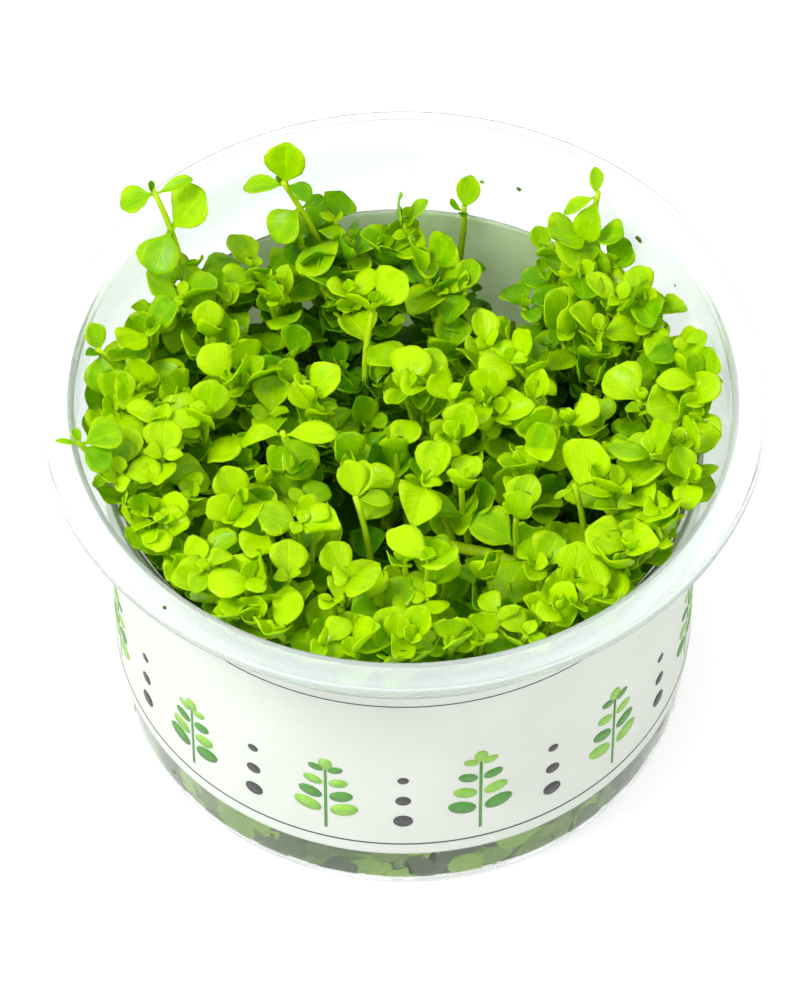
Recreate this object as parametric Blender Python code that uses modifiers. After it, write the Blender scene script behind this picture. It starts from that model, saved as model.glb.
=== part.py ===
# A carpeting aquarium plant growing in its clear culture cup.
# Metres, +Z up, origin at the middle of the cup's base, front at -Y.
import math
import random

import bmesh
import bpy
from mathutils import Euler, Matrix, Vector

# The cup: one thin clear wall with a flat flange and a turned-down lip
rim_height = 0.0612
rim_radius = 0.0500
lip_drop = 0.0017
flange_inner_radius = 0.0458
neck_foot_radius = 0.0450
neck_foot_height = 0.0591
ledge_top_radius = 0.0447
ledge_top_height = 0.0530
ledge_bottom_radius = 0.0430
ledge_bottom_height = 0.0512
wall_top_radius = 0.0403
wall_top_height = 0.0502
wall_foot_radius = 0.0397
base_corner = 0.0006
cup_thickness = 0.0007
turn_steps = 40

# The paper band round the cup
label_top = 0.0492
label_bottom = 0.0087
label_thickness = 0.00025

# What fills the cup: clear gel, then the tangle of lower stems, then the sprigs
touch_gap = 0.0003
gel_top = 0.0060
mat_top = 0.0320
mat_lump = 0.0011
mat_steps = 20
mat_bands = 3

# The sprigs
sprig_count = 42
sprig_seed = 21
sprig_field_radius = 0.0355
stem_width = 0.0009
knot_height = 0.0008
pair_spacing = 0.0056
usual_pairs = 3
leaf_thickness = 0.0004
leaf_width_share = 0.86
usual_leaf = 0.0056
smallest_leaf = 0.0026
lower_rise_share = 0.7
candidates = 400

# How far the usual sprigs differ: lean of the tip, height, leaf length and rise of the top leaves
lean = 0.0012
height_spread = (-0.0045, 0.0030)
leaf_spread = (0.9, 1.1)
rise_spread = (math.radians(20), math.radians(60))

# Height of the usual stems' tops: in the middle, more at the sides, and more at the front than the back
canopy_middle = 0.0535
canopy_side_rise = 0.0035
canopy_front_rise = 0.0075

# Along a leaf: share of its length, width beside the widest, and share of its rise
leaf_sections = ((0.55, 1.0, 1.0), (0.45, 0.48, 0.7))

# A space at the back right where no plant stands
clear_spot = Vector((0.0140, 0.0325))
clear_spot_radius = 0.0048

# Sprigs that stand out: foot x and y, tip x, y and height, leaf length,
# the way the top pair of leaves points, and how steeply its two leaves rise, in degrees
tall_sprigs = {
    "back_left": (-0.0275, 0.0225, -0.0350, 0.0285, 0.0690, 0.0056, 20, 30, 45),
    "round_leaf": (-0.0100, 0.0345, -0.0172, 0.0352, 0.0655, 0.0074, 10, 76, 24),
    "back_single": (0.0083, 0.0355, 0.0086, 0.0386, 0.0535, 0.0050, 60, 70, 30),
    "back_right": (0.0245, 0.0260, 0.0284, 0.0335, 0.0630, 0.0062, 25, 62, 50),
    "right_edge": (0.0352, 0.0030, 0.0410, 0.0040, 0.0580, 0.0055, 95, 45, 35),
    "left_edge": (-0.0345, 0.0085, -0.0420, 0.0080, 0.0600, 0.0055, 80, 60, 30),
    "left_over_rim": (-0.0335, -0.0115, -0.0440, -0.0110, 0.0640, 0.0052, 15, 35, 20),
    "left_arch": (-0.0145, -0.0060, -0.0165, -0.0040, 0.0570, 0.0066, 5, 15, 5),
    "front_middle": (-0.0029, -0.0200, -0.0065, -0.0150, 0.0570, 0.0066, 20, 55, 30),
    "front_right": (0.0258, -0.0180, 0.0232, -0.0140, 0.0585, 0.0068, 15, 20, 50),
    "front_rim": (-0.0010, -0.0355, -0.0010, -0.0398, 0.0575, 0.0052, 5, 20, 25),
    "back_middle": (-0.0060, 0.0130, -0.0040, 0.0185, 0.0570, 0.0060, 30, 30, 40),
}


def new_material(name, colour, roughness, transmission=0.0):
    material = bpy.data.materials.new(name)
    material.use_nodes = True
    shader = material.node_tree.nodes["Principled BSDF"]
    shader.inputs["Base Color"].default_value = (*colour, 1.0)
    shader.inputs["Roughness"].default_value = roughness
    shader.inputs["Metallic"].default_value = 0.0
    shader.inputs["Transmission Weight"].default_value = transmission
    material.diffuse_color = (*colour, 1.0)
    return material


def add_object(name, bm, material, collection):
    mesh = bpy.data.meshes.new(name)
    bm.to_mesh(mesh)
    bm.free()
    mesh.materials.append(material)
    piece = bpy.data.objects.new(name, mesh)
    collection.objects.link(piece)
    return piece


def add_turned(name, profile, closed, steps, material, collection):
    # Turns a profile of (radius, height) points about Z
    bm = bmesh.new()
    verts = [bm.verts.new((radius, 0.0, height)) for radius, height in profile]
    for first, second in zip(verts, verts[1:]):
        bm.edges.new((first, second))
    if closed:
        bm.edges.new((verts[-1], verts[0]))
    piece = add_object(name, bm, material, collection)
    screw = piece.modifiers.new("Turn", "SCREW")
    screw.steps = steps
    screw.render_steps = steps
    screw.use_merge_vertices = True
    screw.merge_threshold = 0.00001
    screw.use_smooth_shade = True
    return piece


def corner_points(radius, height, size, count):
    # A quarter round from the floor up into the wall
    turns = [math.radians(90.0 * step / count) for step in range(count + 1)]
    return [(radius - size + size * math.sin(turn), height + size - size * math.cos(turn)) for turn in turns]


def wall_radius(height):
    # Inside radius of the cup at a height
    if height < wall_top_height:
        share = height / wall_top_height
        return wall_foot_radius + share * (wall_top_radius - wall_foot_radius)
    if height < ledge_top_height:
        share = (height - wall_top_height) / (ledge_top_height - wall_top_height)
        return wall_top_radius + share * (ledge_top_radius - wall_top_radius)
    return ledge_top_radius


def build_cup(collection):
    # The inside face from the middle of the floor up over the flange and down the lip
    floor = cup_thickness
    lip_round = lip_drop / 4
    profile = [(0.0, floor)]
    profile += corner_points(wall_radius(base_corner), floor, base_corner, 2)
    profile += [
        (wall_top_radius, wall_top_height),
        (ledge_bottom_radius, ledge_bottom_height),
        (ledge_top_radius, ledge_top_height),
        (neck_foot_radius, neck_foot_height),
        (flange_inner_radius, rim_height),
        (rim_radius - lip_round, rim_height),
        (rim_radius, rim_height - lip_round),
        (rim_radius, rim_height - lip_drop),
    ]
    clear = new_material("clear_plastic", (0.86, 0.90, 0.88), 0.08, 0.95)
    cup = add_turned("culture_cup", profile, False, turn_steps, clear, collection)
    wall = cup.modifiers.new("Wall", "SOLIDIFY")
    wall.thickness = cup_thickness
    wall.offset = -1.0
    wall.use_even_offset = True


def build_label(collection):
    # A thin band that hugs the outside of the wall
    inset = cup_thickness + touch_gap
    top = wall_radius(label_top) + inset
    bottom = wall_radius(label_bottom) + inset
    profile = [
        (bottom, label_bottom),
        (top, label_top),
        (top + label_thickness, label_top),
        (bottom + label_thickness, label_bottom),
    ]
    paper = new_material("label_paper", (0.85, 0.85, 0.84), 0.6)
    add_turned("label_band", profile, True, turn_steps, paper, collection)


def build_gel(collection):
    floor = cup_thickness + touch_gap
    outer = wall_radius(floor) - 2 * touch_gap
    profile = [
        (0.0, gel_top),
        (outer, gel_top),
        (outer, floor + base_corner),
        (outer - base_corner, floor),
        (0.0, floor),
    ]
    gel = new_material("clear_gel", (0.80, 0.86, 0.70), 0.1, 0.8)
    add_turned("nutrient_gel", profile, False, turn_steps, gel, collection)


def build_mat(material, collection):
    # Lower stems and older leaves, taken together as one lumpy mass
    foot = gel_top + touch_gap
    bm = bmesh.new()
    made = bmesh.ops.create_cone(
        bm,
        cap_ends=True,
        segments=mat_steps,
        radius1=wall_radius(foot) - 3 * touch_gap - mat_lump,
        radius2=wall_radius(mat_top) - 3 * touch_gap - mat_lump,
        depth=mat_top - foot,
    )
    bmesh.ops.translate(bm, verts=made["verts"], vec=(0.0, 0.0, (mat_top + foot) / 2))
    uprights = [edge for edge in bm.edges if abs(edge.verts[0].co.z - edge.verts[1].co.z) > touch_gap]
    bmesh.ops.subdivide_edges(bm, edges=uprights, cuts=mat_bands - 1, use_grid_fill=True)
    chance = random.Random(sprig_seed)
    for vert in bm.verts:
        if touch_gap < vert.co.z - foot < mat_top - foot - touch_gap:
            outward = Vector((vert.co.x, vert.co.y, 0.0)).normalized()
            vert.co += outward * chance.uniform(-mat_lump, mat_lump)
    add_object("stem_mat", bm, material, collection)


def canopy_height(x, y):
    # The plants stand level with the rim at the front and sides, and lower at the back
    return canopy_middle + canopy_side_rise * abs(x) / rim_radius - canopy_front_rise * y / rim_radius


def stem_point(sprig, height):
    # Stems leave the mat upright and lean more towards the tip
    foot, tip = sprig["foot"], sprig["tip"]
    share = (height - foot.z) / (tip.z - foot.z)
    level = foot.lerp(tip, share)
    bend = share * (1.0 - share)
    return Vector((level.x - bend * (tip.x - foot.x), level.y - bend * (tip.y - foot.y), height))


def plan_sprigs():
    # The sprigs that stand out, then the rest each as far from the others as fits
    chance = random.Random(sprig_seed)
    foot_height = mat_top + touch_gap
    plans = []
    for name, (x, y, tip_x, tip_y, tip_height, leaf, turn, rise, other_rise) in tall_sprigs.items():
        plans.append({
            "name": f"sprig_{name}",
            "foot": Vector((x, y, foot_height)),
            "tip": Vector((tip_x, tip_y, tip_height)),
            "leaf": leaf,
            "turn": math.radians(turn),
            "rises": (math.radians(rise), math.radians(other_rise)),
            "pairs": round((tip_height - foot_height) / pair_spacing),
        })
    while len(plans) < sprig_count:
        best, best_gap = None, 0.0
        for _ in range(candidates):
            turn = chance.uniform(0.0, 2 * math.pi)
            reach = sprig_field_radius * math.sqrt(chance.random())
            spot = Vector((reach * math.cos(turn), reach * math.sin(turn)))
            gap = min((spot - plan[end].xy).length for plan in plans for end in ("foot", "tip"))
            if gap > best_gap and (spot - clear_spot).length > clear_spot_radius + usual_leaf:
                best, best_gap = spot, gap
        height = canopy_height(best.x, best.y) + chance.uniform(*height_spread)
        plans.append({
            "name": f"sprig_{len(plans) + 1:02d}",
            "foot": Vector((best.x, best.y, foot_height)),
            "tip": Vector((best.x + chance.uniform(-lean, lean), best.y + chance.uniform(-lean, lean), height)),
            "leaf": usual_leaf * chance.uniform(*leaf_spread),
            "turn": chance.uniform(0.0, math.pi),
            "rises": (chance.uniform(*rise_spread), chance.uniform(*rise_spread)),
            "pairs": usual_pairs,
        })
    return plans


def room_at(plan, plans, root, leaf_top):
    # Half the space to the nearest other stem, from the leaf's root to its top
    room = plan["leaf"]
    for other in plans:
        if other is plan or other["tip"].z + other["leaf"] < root.z:
            continue
        for height in (root.z, leaf_top):
            there = stem_point(other, min(height, other["tip"].z))
            room = min(room, (there.xy - root.xy).length / 2 - touch_gap)
    return room


def leaf_frames(root, outward, length, rise):
    # The middle, width and upward side of each section along a leaf
    across = Vector((-outward.y, outward.x, 0.0))
    centre = root
    frames = []
    for share, width, turn_share in leaf_sections:
        turn = rise * turn_share
        along = outward * math.cos(turn) + Vector((0.0, 0.0, math.sin(turn)))
        centre = centre + along * share * length
        frames.append((centre, across, width * length * leaf_width_share / 2, along.cross(across)))
    return frames


def inside_cup(centre, across, half_width):
    # Whether both edges of a leaf section stay clear of the wall
    reach = max((centre + across * side).xy.length for side in (-half_width, half_width))
    return reach < wall_radius(centre.z) - 2 * touch_gap


def leaf_length(plan, plans, root, outward, rise):
    # As long as the leaf may be without meeting a neighbour or the wall, or none where it is too tight
    leaf_top = root.z + plan["leaf"] * math.sin(rise)
    length = min(plan["leaf"], room_at(plan, plans, root, leaf_top) / math.cos(rise))
    if root.z > rim_height + 2 * touch_gap:
        return length
    while length > smallest_leaf:
        frames = leaf_frames(root, outward, length, rise)
        if all(inside_cup(centre, across, half_width) for centre, across, half_width, _ in frames):
            return length
        length -= touch_gap
    return 0.0


def grow(bm, face, centre, across, half_across, upward, half_up):
    # Extrudes a four-sided face and sets its new corners round a centre
    face = bmesh.ops.extrude_discrete_faces(bm, faces=[face])["faces"][0]
    middle = face.calc_center_median()
    for vert in face.verts:
        offset = vert.co - middle
        side = math.copysign(half_across, offset.dot(across))
        level = math.copysign(half_up, offset.dot(upward))
        vert.co = centre + across * side + upward * level
    return face


def add_leaf(bm, face, outward, length, rise):
    # A blade that widens from the stem, levels out and narrows to its tip
    for centre, across, half_width, upward in leaf_frames(face.calc_center_median(), outward, length, rise):
        face = grow(bm, face, centre, across, half_width, upward, leaf_thickness / 2)


def build_sprig(plan, plans, material, collection):
    foot, tip, turn = plan["foot"], plan["tip"], plan["turn"]
    first = Vector((math.cos(turn), math.sin(turn), 0.0))
    second = Vector((-first.y, first.x, 0.0))
    half = stem_width / 2
    bm = bmesh.new()
    foot_block = Matrix.LocRotScale(
        foot + Vector((0.0, 0.0, half)),
        Euler((0.0, 0.0, turn)),
        Vector((stem_width, stem_width, stem_width)),
    )
    bmesh.ops.create_cube(bm, size=1.0, matrix=foot_block)
    top = max(bm.faces, key=lambda face: face.calc_center_median().z)
    for pairs_above in reversed(range(plan["pairs"])):
        below = tip.z - pairs_above * pair_spacing - knot_height
        if below < foot.z + 2 * stem_width:
            continue
        top = grow(bm, top, stem_point(plan, below), first, half, second, half)
        top = grow(bm, top, stem_point(plan, below + knot_height), first, half, second, half)
        sides = [face for edge in top.edges for face in edge.link_faces if face is not top]
        axis = second if pairs_above % 2 else first
        for outward, top_rise in zip((axis, -axis), plan["rises"]):
            rise = top_rise * lower_rise_share ** pairs_above
            for face in sides:
                face.normal_update()
            side = max(sides, key=lambda face: face.normal.dot(outward))
            length = leaf_length(plan, plans, side.calc_center_median(), outward, rise)
            if length:
                add_leaf(bm, side, outward, length, rise)
            sides.remove(side)
    add_object(plan["name"], bm, material, collection)


def build():
    for existing in list(bpy.data.objects):
        bpy.data.objects.remove(existing)
    collection = bpy.data.collections.new("monte_carlo_carpet_plant")
    bpy.context.scene.collection.children.link(collection)
    build_cup(collection)
    build_label(collection)
    build_gel(collection)
    build_mat(new_material("deep_stems", (0.10, 0.24, 0.01), 0.5), collection)
    leaf_green = new_material("leaf_green", (0.33, 0.62, 0.02), 0.4)
    plans = plan_sprigs()
    for plan in plans:
        build_sprig(plan, plans, leaf_green, collection)


build()
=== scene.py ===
import math
import random

import bmesh
import bpy
from mathutils import Matrix, Vector


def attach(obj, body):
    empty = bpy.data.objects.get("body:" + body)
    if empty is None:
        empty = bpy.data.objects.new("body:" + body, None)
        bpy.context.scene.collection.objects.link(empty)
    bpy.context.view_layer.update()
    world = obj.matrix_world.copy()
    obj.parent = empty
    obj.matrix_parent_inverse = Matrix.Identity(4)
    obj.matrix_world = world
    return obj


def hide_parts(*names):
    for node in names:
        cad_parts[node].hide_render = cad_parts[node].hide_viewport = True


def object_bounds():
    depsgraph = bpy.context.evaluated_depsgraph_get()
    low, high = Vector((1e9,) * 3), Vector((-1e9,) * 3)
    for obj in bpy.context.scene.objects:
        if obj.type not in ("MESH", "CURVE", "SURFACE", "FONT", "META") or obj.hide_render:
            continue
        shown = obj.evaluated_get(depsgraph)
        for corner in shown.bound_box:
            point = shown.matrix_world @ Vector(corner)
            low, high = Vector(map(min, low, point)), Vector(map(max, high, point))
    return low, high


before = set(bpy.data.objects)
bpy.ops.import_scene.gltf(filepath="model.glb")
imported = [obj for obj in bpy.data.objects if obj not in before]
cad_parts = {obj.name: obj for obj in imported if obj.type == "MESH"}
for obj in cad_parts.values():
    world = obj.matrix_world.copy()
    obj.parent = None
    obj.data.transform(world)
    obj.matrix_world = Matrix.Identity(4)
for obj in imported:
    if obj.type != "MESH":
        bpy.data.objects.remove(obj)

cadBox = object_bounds()
scene = bpy.context.scene
upAxis = Vector((0, 0, 1))
print("frame loaded,", len(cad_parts), "nodes")


def addPiece(name, bm, materials, slot, *nodes):
    mesh = bpy.data.meshes.new(name)
    bm.to_mesh(mesh)
    bm.free()
    for material in materials:
        mesh.materials.append(material)
    for polygon in mesh.polygons:
        polygon.use_smooth = True
    piece = bpy.data.objects.new(name, mesh)
    scene.collection.objects.link(piece)
    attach(piece, "root")
    if nodes:
        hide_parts(*nodes)
    return piece


def newMaterial(name, **values):
    material = bpy.data.materials.new(name)
    material.use_nodes = True
    shader = material.node_tree.nodes["Principled BSDF"]
    for socket, value in values.items():
        shader.inputs[socket.replace("_", " ")].default_value = value
    return material, shader


def addNode(material, kind, inputs=None, **settings):
    # A node with its settings, and its inputs filled with values or other nodes' sockets
    tree = material.node_tree
    node = tree.nodes.new(kind)
    for setting, value in settings.items():
        setattr(node, setting, value)
    for socket, value in (inputs or {}).items():
        if isinstance(value, bpy.types.NodeSocket):
            tree.links.new(value, node.inputs[socket])
        else:
            node.inputs[socket].default_value = value
    return node


def link(material, output, target):
    material.node_tree.links.new(output, target)


def objectPlace(material):
    return addNode(material, "ShaderNodeTexCoord").outputs["Object"]


def addNoise(material, place, scale, detail, **more):
    inputs = {"Vector": place, "Scale": scale, "Detail": detail, **more}
    return addNode(material, "ShaderNodeTexNoise", inputs).outputs["Fac"]


def addMath(material, operation, *values):
    return addNode(material, "ShaderNodeMath", dict(enumerate(values)), operation=operation).outputs[0]


def addRange(material, value, low, high, start=0.0, end=1.0):
    inputs = {"Value": value, "From Min": start, "From Max": end, "To Min": low, "To Max": high}
    return addNode(material, "ShaderNodeMapRange", inputs).outputs["Result"]


def addGlow(material, shader, share, colour):
    # Mixes in light that comes through a thin piece
    glow = addNode(material, "ShaderNodeBsdfTranslucent", {"Color": colour})
    both = addNode(material, "ShaderNodeMixShader", {0: share, 1: shader.outputs[0], 2: glow.outputs[0]})
    link(material, both.outputs[0], material.node_tree.nodes["Material Output"].inputs["Surface"])


def addRamp(material, fac, stops):
    ramp = addNode(material, "ShaderNodeValToRGB", {"Fac": fac})
    while len(ramp.color_ramp.elements) < len(stops):
        ramp.color_ramp.elements.new(0.5)
    for element, (place, colour) in zip(ramp.color_ramp.elements, stops):
        element.position = place
        element.color = (*colour, 1.0)
    return ramp.outputs["Color"]


def addBump(material, shader, height, strength, distance, socket="Normal"):
    bump = addNode(material, "ShaderNodeBump", {"Height": height, "Strength": strength, "Distance": distance})
    link(material, bump.outputs["Normal"], shader.inputs[socket])


def held(points, closed, reach=0.00035):
    # Rings close to each bend, so that the long faces keep their own shading
    loop = points + points[:1] if closed else points
    rings = []
    for start, end in zip(loop, loop[1:]):
        start, end = Vector(start), Vector(end)
        length = (end - start).length
        rings.append(start)
        if length > 4 * reach:
            rings += [start.lerp(end, reach / length), end.lerp(start, reach / length)]
    return rings if closed else rings + [Vector(points[-1])]


def spin(bm, points, steps, closed=False):
    # Turns a profile of (radius, height) points about Z
    verts = [bm.verts.new((radius, 0, height)) for radius, height in held(points, closed)]
    edges = [bm.edges.new(pair) for pair in zip(verts, verts[1:])]
    if closed:
        edges.append(bm.edges.new((verts[-1], verts[0])))
    bmesh.ops.spin(bm, geom=verts + edges, cent=(0, 0, 0), axis=(0, 0, 1), angle=2 * math.pi,
                   steps=steps, use_merge=True)
    bmesh.ops.remove_doubles(bm, verts=bm.verts[:], dist=0.000002)


def arc(centreRadius, centreHeight, size, startTurn, endTurn, count):
    turns = [math.radians(startTurn + (endTurn - startTurn) * i / count) for i in range(count + 1)]
    return [(centreRadius + size * math.cos(t), centreHeight + size * math.sin(t)) for t in turns]


# The clear cup: heights and radii in metres
cup = {
    "rimHeight": 0.0612, "rimRadius": 0.0500, "lipDrop": 0.0017, "lipRound": 0.0006,
    "flangeStart": 0.0461, "flangeMiddle": 0.0478, "neckFoot": (0.0450, 0.0591),
    "neckRound": [(0.0452, 0.0604), (0.0455, 0.0610)],
    "ledgeTop": (0.0447, 0.0530), "ledgeRound": [(0.0436, 0.0515), (0.0444, 0.0523)],
    "ledgeBottom": [(0.0405, 0.0506), (0.0430, 0.0512)],
    "wallTop": (0.0403, 0.0502), "wallFoot": 0.0397, "baseRound": 0.0006, "baseMiddle": 0.020,
    "thickness": 0.0007, "steps": 144, "bending": 1.28, "milkyFrom": 0.0497,
}


def wallRadius(height):
    # Inside radius of the cup at a height, straight on up the neck from the ledge
    topRadius, topHeight = cup["wallTop"]
    ledgeRadius, ledgeHeight = cup["ledgeTop"]
    if height < topHeight:
        return cup["wallFoot"] + height / topHeight * (topRadius - cup["wallFoot"])
    if height < ledgeHeight:
        share = (height - topHeight) / (ledgeHeight - topHeight)
        return topRadius + share * (ledgeRadius - topRadius)
    return ledgeRadius


def makePlastic(name, tints, clearness, roughness):
    material, shader = newMaterial(name, IOR=cup["bending"], Transmission_Weight=clearness)
    place = objectPlace(material)
    waves, scuffs = addNoise(material, place, 60, 2), addNoise(material, place, 900, 4)
    link(material, addRamp(material, waves, [(0.3, tints[0]), (0.7, tints[1])]), shader.inputs["Base Color"])
    link(material, addRange(material, scuffs, *roughness), shader.inputs["Roughness"])
    addBump(material, shader, waves, 0.15, 0.002)
    return material


def makeCup():
    bm = bmesh.new()
    floor, lip = cup["thickness"], cup["lipRound"]
    profile = [(0, floor), (cup["baseMiddle"], floor)]
    profile += arc(cup["wallFoot"] - cup["baseRound"], floor + cup["baseRound"], cup["baseRound"], -90, 0, 4)
    profile += [cup["wallTop"], *cup["ledgeBottom"], *cup["ledgeRound"], cup["ledgeTop"]]
    profile += [cup["neckFoot"], *cup["neckRound"]]
    profile += [(radius, cup["rimHeight"]) for radius in (cup["flangeStart"], cup["flangeMiddle"])]
    profile += arc(cup["rimRadius"] - lip, cup["rimHeight"] - lip, lip, 90, 0, 4)
    profile += [(cup["rimRadius"], cup["rimHeight"] - cup["lipDrop"])]
    spin(bm, profile, cup["steps"])
    bmesh.ops.recalc_face_normals(bm, faces=bm.faces[:])
    bm.faces.ensure_lookup_table()
    floorFace = min(bm.faces, key=lambda face: face.calc_center_median().z)
    if floorFace.normal.z < 0:
        bmesh.ops.reverse_faces(bm, faces=bm.faces[:])
    # The ledge, neck and flange are milkier than the wall
    for face in bm.faces:
        face.material_index = 1 if face.calc_center_median().z > cup["milkyFrom"] else 0
    clear = makePlastic("clearPlastic", ((0.94, 0.98, 0.95), (0.98, 0.995, 0.985)), 0.98, (0.01, 0.05))
    milky = makePlastic("milkyPlastic", ((0.88, 0.94, 0.925), (0.93, 0.965, 0.955)), 0.80, (0.05, 0.20))
    piece = addPiece("clear_cup", bm, [clear, milky], "clear_plastic", "culture_cup")
    wall = piece.modifiers.new("Wall", "SOLIDIFY")
    wall.thickness = cup["thickness"]
    wall.offset = -1.0
    wall.use_even_offset = True


makeCup()
print("cup made")


# The paper band, with its own small pattern of sprigs, dots and rules
band = {
    "top": 0.0492, "bottom": 0.0087, "thickness": 0.00025, "gap": 0.0003, "letsThrough": 0.20, "backPaintedGlow": 0.24,
    "motifs": 12, "motifFoot": 0.0135, "motifHeight": 0.0150, "motifSpread": (0.85, 1.1), "seed": 4,
    "stemHalf": 0.00022, "leafReach": 0.0026, "leafLess": 0.0004, "leafPairs": 4, "leafTilt": 0.45,
    "dots": 3, "dotStep": 0.0050, "dotSize": 0.0014, "dotLess": 0.0003, "printHeight": 0.00004,
    "rules": ((0.0450, 0.00010), (0.0112, 0.00014)),
}


def bandRadius(height):
    return wallRadius(height) + cup["thickness"] + band["gap"] + band["thickness"]


def makePaper():
    material, shader = newMaterial("labelPaper", Roughness=0.55)
    place = objectPlace(material)
    fibres, clouds = addNoise(material, place, 2600, 5), addNoise(material, place, 55, 2)
    colour = addRamp(material, clouds, [(0.3, (0.63, 0.635, 0.63)), (0.7, (0.67, 0.675, 0.67))])
    link(material, colour, shader.inputs["Base Color"])
    link(material, addRange(material, fibres, 0.45, 0.65), shader.inputs["Roughness"])
    addBump(material, shader, fibres, 0.12, 0.0001)
    addGlow(material, shader, band["letsThrough"], (0.93, 0.95, 0.91, 1.0))
    return material


def makeBandBack():
    # The side that shows through the wall. Its glow is painted light, standing in for the light through the
    # paper, and its pale green is painted light reflected from the plants
    material, shader = newMaterial("labelBackPaintedGlow", Roughness=0.6, Emission_Strength=band["backPaintedGlow"])
    tint = addNoise(material, objectPlace(material), 130, 4)
    colour = addRamp(material, tint, [(0.35, (0.60, 0.76, 0.38)), (0.65, (0.76, 0.88, 0.58))])
    link(material, colour, shader.inputs["Base Color"])
    link(material, colour, shader.inputs["Emission Color"])
    link(material, addRange(material, tint, 0.4, 0.75), shader.inputs["Roughness"])
    return material


def makeInk(name, dark, light):
    material, shader = newMaterial(name, Roughness=0.5)
    grain = addNoise(material, objectPlace(material), 1400, 3)
    link(material, addRamp(material, grain, [(0.35, dark), (0.65, light)]), shader.inputs["Base Color"])
    link(material, addRange(material, grain, 0.42, 0.58), shader.inputs["Roughness"])
    return material


def addPrint(bm, ink, kind, place, size, turn=0.0):
    # A flat shape laid on the band: x runs round it and y up it
    new = bmesh.new()
    if kind == "dot":
        bmesh.ops.create_circle(new, cap_ends=True, cap_tris=True, segments=14, radius=1.0)
    else:
        bmesh.ops.create_grid(new, x_segments=kind, y_segments=1, size=1.0)
    flat = Matrix.Translation((*place, 0)) @ Matrix.Rotation(turn, 4, "Z") @ Matrix.Diagonal((*size, 1, 1))
    bmesh.ops.transform(new, matrix=flat, verts=new.verts[:])
    bmesh.ops.solidify(new, geom=new.faces[:], thickness=band["printHeight"])
    low = min(vert.co.z for vert in new.verts)
    for vert in new.verts:
        along, height = vert.co.x, vert.co.y
        radius = bandRadius(height) + vert.co.z - low - band["printHeight"] / 4
        around = along / bandRadius(height) - math.pi / 2
        vert.co = (radius * math.cos(around), radius * math.sin(around), height)
    bmesh.ops.recalc_face_normals(new, faces=new.faces[:])
    for face in new.faces:
        face.material_index = ink
    mesh = bpy.data.meshes.new("print")
    new.to_mesh(mesh)
    new.free()
    bm.from_mesh(mesh)
    bpy.data.meshes.remove(mesh)


def makeBand():
    bm = bmesh.new()
    inside = [(wallRadius(h) + cup["thickness"] + band["gap"], h) for h in (band["bottom"], band["top"])]
    outside = [(bandRadius(h), h) for h in (band["top"], band["bottom"])]
    spin(bm, inside + outside, cup["steps"], closed=True)
    bmesh.ops.recalc_face_normals(bm, faces=bm.faces[:])
    for face in bm.faces:
        middle = face.calc_center_median()
        if face.normal.dot(Vector((middle.x, middle.y, 0))) < 0:
            # The faces towards the wall take the back finish, with its painted glow
            face.material_index = 4
    chance = random.Random(band["seed"])
    around = 2 * math.pi * bandRadius(0.03)
    for height, half in band["rules"]:
        old = set(bm.faces)
        low, high, outer = height - half, height + half, band["printHeight"]
        foot, head = bandRadius(low), bandRadius(high)
        spin(bm, [(foot - outer, low), (foot + outer, low), (head + outer, high), (head - outer, high)],
             cup["steps"], closed=True)
        ring = [face for face in bm.faces if face not in old]
        bmesh.ops.recalc_face_normals(bm, faces=ring)
        for face in ring:
            face.material_index = 1
    for count in range(band["motifs"]):
        middle = around * (count + 0.5) / band["motifs"] - around / 2
        tall = band["motifHeight"] * chance.uniform(*band["motifSpread"])
        addPrint(bm, 2, 2, (middle, band["motifFoot"] + tall / 2), (band["stemHalf"], tall / 2))
        for pair in range(band["leafPairs"]):
            height = band["motifFoot"] + tall * (0.30 + 0.22 * pair)
            reach = band["leafReach"] - band["leafLess"] * pair
            for side in (-1, 1):
                place = (middle + side * reach, height + 0.0008)
                size = (reach * 0.82, reach * 0.55)
                addPrint(bm, 2 + (pair + count) % 2, "dot", place, size, side * band["leafTilt"])
        addPrint(bm, 3, "dot", (middle, band["motifFoot"] + tall + 0.0014), (0.0010, 0.0013))
        # Grey dots between this sprig and the next
        for step in range(band["dots"]):
            place = (middle + around / band["motifs"] / 2, band["motifFoot"] + 0.0035 + band["dotStep"] * step)
            addPrint(bm, 1, "dot", place, (band["dotSize"] - band["dotLess"] * step,) * 2)
    grey = makeInk("inkGrey", (0.035, 0.037, 0.036), (0.055, 0.057, 0.056))
    green = makeInk("inkGreen", (0.045, 0.20, 0.02), (0.08, 0.28, 0.03))
    lime = makeInk("inkLime", (0.18, 0.42, 0.04), (0.26, 0.52, 0.06))
    addPiece("paper_band", bm, [makePaper(), grey, green, lime, makeBandBack()], "label_paper", "label_band")


makeBand()
print("band made")


# The nutrient gel in the floor of the cup
gel = {
    "top": 0.0060, "floor": 0.0010, "edgeGap": 0.0006, "round": 0.0008, "steps": 96, "clearness": 0.45,
    "tints": [(0.3, (0.11, 0.16, 0.02)), (0.7, (0.34, 0.43, 0.08))],
}


def makeGel():
    material, shader = newMaterial("clearGel", Roughness=0.12, IOR=1.35, Transmission_Weight=gel["clearness"])
    cloud = addNoise(material, objectPlace(material), 160, 4)
    link(material, addRamp(material, cloud, gel["tints"]), shader.inputs["Base Color"])
    link(material, addRange(material, cloud, 0.06, 0.25), shader.inputs["Roughness"])
    addBump(material, shader, cloud, 0.3, 0.0008)
    bm = bmesh.new()
    edge, size = wallRadius(gel["floor"]) - gel["edgeGap"], gel["round"]
    profile = [(0, gel["floor"])]
    profile += arc(edge - size, gel["floor"] + size, size, -90, 0, 3)
    profile += arc(edge - size, gel["top"] - size, size, 0, 90, 3)
    profile += [(0, gel["top"])]
    spin(bm, profile, gel["steps"])
    bmesh.ops.recalc_face_normals(bm, faces=bm.faces[:])
    addPiece("gel_layer", bm, [material], "clear_gel", "nutrient_gel")


makeGel()
print("gel made")


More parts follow.
